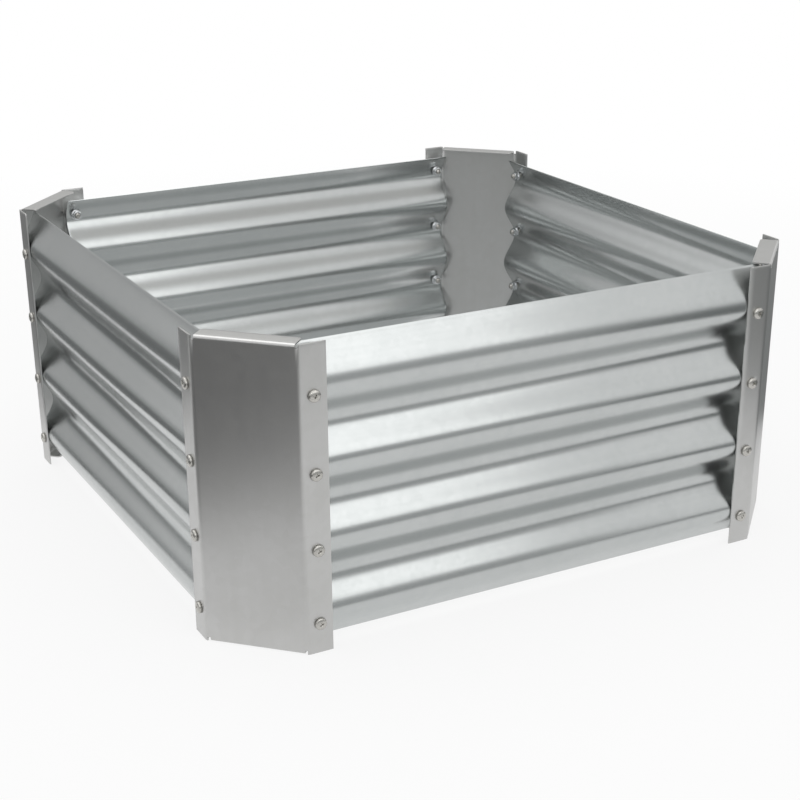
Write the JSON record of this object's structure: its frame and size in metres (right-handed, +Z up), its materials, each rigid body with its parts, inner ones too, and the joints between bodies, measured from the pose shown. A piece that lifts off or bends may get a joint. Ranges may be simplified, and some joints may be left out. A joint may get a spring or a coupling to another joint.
{
  "type": "raised garden bed",
  "caption": "Square raised garden bed of corrugated galvanised steel panels, screwed into folded corner brackets with turned-in lips, open at the top and the bottom.",
  "frame": {"origin": "on the ground, in the middle of the bed", "axes": "+Z up, -Y out through the front panel, +X towards the right panel"},
  "size_m": [0.6842, 0.6842, 0.308],
  "materials": {
    "panel": "hot-dip galvanised sheet, pale blue-grey, satin sheen",
    "bracket": "hot-dip galvanised sheet, mid grey, satin sheen",
    "screw": "bright zinc plate"
  },
  "bodies": {
    "root": {"panel_front": "panel", "bracket_front_left": "bracket", "screw_front_left_1": "screw", "screw_front_left_2": "screw", "screw_front_left_3": "screw", "screw_front_left_4": "screw", "screw_front_right_1": "screw", "screw_front_right_2": "screw", "screw_front_right_3": "screw", "screw_front_right_4": "screw", "panel_right": "panel", "bracket_front_right": "bracket", "screw_right_front_1": "screw", "screw_right_front_2": "screw", "screw_right_front_3": "screw", "screw_right_front_4": "screw", "screw_right_rear_1": "screw", "screw_right_rear_2": "screw", "screw_right_rear_3": "screw", "screw_right_rear_4": "screw", "panel_rear": "panel", "bracket_rear_right": "bracket", "screw_rear_right_1": "screw", "screw_rear_right_2": "screw", "screw_rear_right_3": "screw", "screw_rear_right_4": "screw", "screw_rear_left_1": "screw", "screw_rear_left_2": "screw", "screw_rear_left_3": "screw", "screw_rear_left_4": "screw", "panel_left": "panel", "bracket_rear_left": "bracket", "screw_left_rear_1": "screw", "screw_left_rear_2": "screw", "screw_left_rear_3": "screw", "screw_left_rear_4": "screw", "screw_left_front_1": "screw", "screw_left_front_2": "screw", "screw_left_front_3": "screw", "screw_left_front_4": "screw"}
  },
  "joints": []
}
